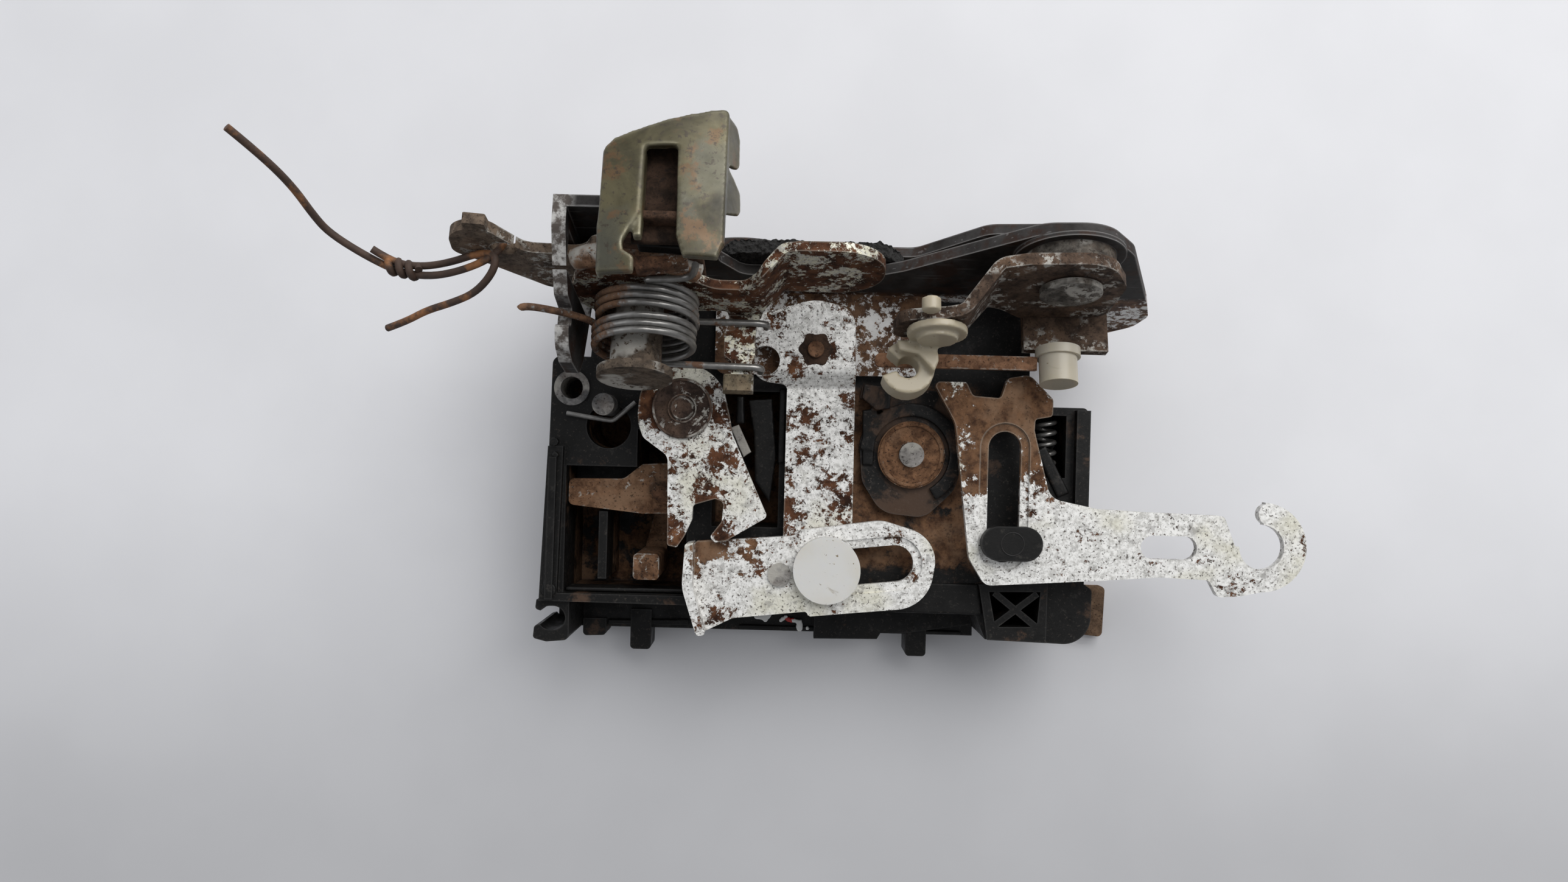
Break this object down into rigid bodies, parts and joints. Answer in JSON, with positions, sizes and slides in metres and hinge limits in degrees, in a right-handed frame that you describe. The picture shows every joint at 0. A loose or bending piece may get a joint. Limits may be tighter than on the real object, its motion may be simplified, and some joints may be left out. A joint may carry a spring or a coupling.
{
  "type": "car door latch",
  "caption": "Car side-door latch lying on its back: black plastic housing, leaning steel lock plates, rusty levers, springs, nylon clips and a hooked slide.",
  "frame": {"origin": "on the underside of the rear cover, below the middle of the lever deck", "axes": "+Z from the rear cover through the lever deck, +Y towards the lock plates, +X towards the pull hook"},
  "size_m": [0.178, 0.0912, 0.0752],
  "materials": {
    "black_plastic": "moulded, dusty",
    "brown_plastic": "dusty",
    "zinc_rust": "flaking zinc plating over rust",
    "rusty_steel": "rusted",
    "dark_steel": "greasy dark grey",
    "spring_steel": "drawn wire, satin",
    "olive_chromate": "yellow zinc chromate, worn",
    "nylon": "semi-gloss, slightly yellowed",
    "foam": "crumbly open-cell foam",
    "rusty_wire": "rusty iron wire"
  },
  "bodies": {
    "case": {"rear_cover": "brown_plastic", "housing": "black_plastic", "threaded_bush": "rusty_steel", "seal_strip": "black_plastic", "retaining_clip": "black_plastic", "chassis": "rusty_steel", "face_plate": "dark_steel", "plate_spacers": "rusty_steel", "striker_gasket": "foam", "lever_axle": "zinc_rust", "return_spring": "spring_steel", "holding_spring": "spring_steel", "cam_rivet": "rusty_steel", "guide_button": "nylon", "rocker_rivet": "rusty_steel", "rocker_washer": "rusty_steel", "oval_guide": "black_plastic", "inner_rivet": "rusty_steel", "spring_post": "rusty_steel", "leg_spring": "spring_steel", "block_spring": "spring_steel", "key_rivet": "zinc_rust", "claw_pin": "dark_steel", "pawl_pin": "dark_steel"},
    "cam": {"cam_lever": "zinc_rust"},
    "lock_lever": {"slotted_lever": "zinc_rust", "lever_stud": "zinc_rust"},
    "strap": {"strap_lever": "zinc_rust", "strap_pin": "zinc_rust"},
    "rocker": {"rocker": "black_plastic"},
    "lock_slide": {"lock_slide": "zinc_rust"},
    "inner_lever": {"inner_lever": "rusty_steel"},
    "release": {"release_lever": "zinc_rust", "release_bracket": "olive_chromate", "tie_wire": "rusty_wire", "tie_loop": "rusty_wire"},
    "transfer": {"transfer_lever": "zinc_rust", "finger_block": "zinc_rust"},
    "key_lever": {"key_lever": "zinc_rust", "link_bush": "nylon", "link_bar": "rusty_steel"},
    "rod_clip": {"rod_clip": "nylon"},
    "claw": {"claw": "dark_steel"},
    "pawl": {"pawl": "dark_steel"}
  },
  "joints": [
    {"name": "cam_pivot", "type": "hinge", "parent": "case", "child": "cam", "pos_m": [-0.0182, 0.0053, 0.034], "axis": [0, 0, 1], "range_deg": [-19, 0]},
    {"name": "lock_lever_slide", "type": "slide", "parent": "case", "child": "lock_lever", "axis": [-0.9936, -0.1132, 0], "range_m": [0, 0.008]},
    {"name": "strap_slide", "type": "slide", "parent": "case", "child": "strap", "axis": [0, -1, 0], "range_m": [0, 0.0032]},
    {"name": "rocker_pivot", "type": "hinge", "parent": "case", "child": "rocker", "pos_m": [0.0232, -0.0019, 0.027], "axis": [0, 0, 1], "range_deg": [-4, 6]},
    {"name": "lock_slide_travel", "type": "slide", "parent": "case", "child": "lock_slide", "axis": [0, -1, 0], "range_m": [0, 0.01]},
    {"name": "inner_lever_pivot", "type": "hinge", "parent": "case", "child": "inner_lever", "pos_m": [-0.0215, -0.009, 0.023], "axis": [0, 0, 1], "range_deg": [-4, 0]},
    {"name": "release_pivot", "type": "hinge", "parent": "case", "child": "release", "pos_m": [-0.0246, 0.02792, 0.04691], "axis": [0, -0.9659, 0.2588], "range_deg": [-10, 0], "stiffness_Nm_per_rad": 0.5},
    {"name": "transfer_pivot", "type": "hinge", "parent": "case", "child": "transfer", "pos_m": [-0.0246, 0.02503, 0.04768], "axis": [0, -0.9659, 0.2588], "range_deg": [-10, 0], "stiffness_Nm_per_rad": 0.5},
    {"name": "key_lever_pivot", "type": "hinge", "parent": "case", "child": "key_lever", "pos_m": [0.0466, 0.02748, 0.0491], "axis": [0, -0.9659, 0.2588], "range_deg": [-10, 0]},
    {"name": "rod_clip_pivot", "type": "hinge", "parent": "key_lever", "child": "rod_clip", "pos_m": [0.0247, 0.0184, 0.04998], "axis": [0, -0.9659, 0.2588], "range_deg": [-15, 15]},
    {"name": "claw_pivot", "type": "hinge", "parent": "case", "child": "claw", "pos_m": [-0.0085, 0.03117, 0.01653], "axis": [0, -0.9659, 0.2588], "range_deg": [-35, 0], "stiffness_Nm_per_rad": 0.3},
    {"name": "pawl_pivot", "type": "hinge", "parent": "case", "child": "pawl", "pos_m": [0.017, 0.03053, 0.01411], "axis": [0, -0.9659, 0.2588], "range_deg": [-8, 0], "stiffness_Nm_per_rad": 0.3}
  ],
  "couplings": [
    {"joint": "cam_pivot", "follows": "lock_lever_slide", "rad_per_m": -40.797}
  ]
}
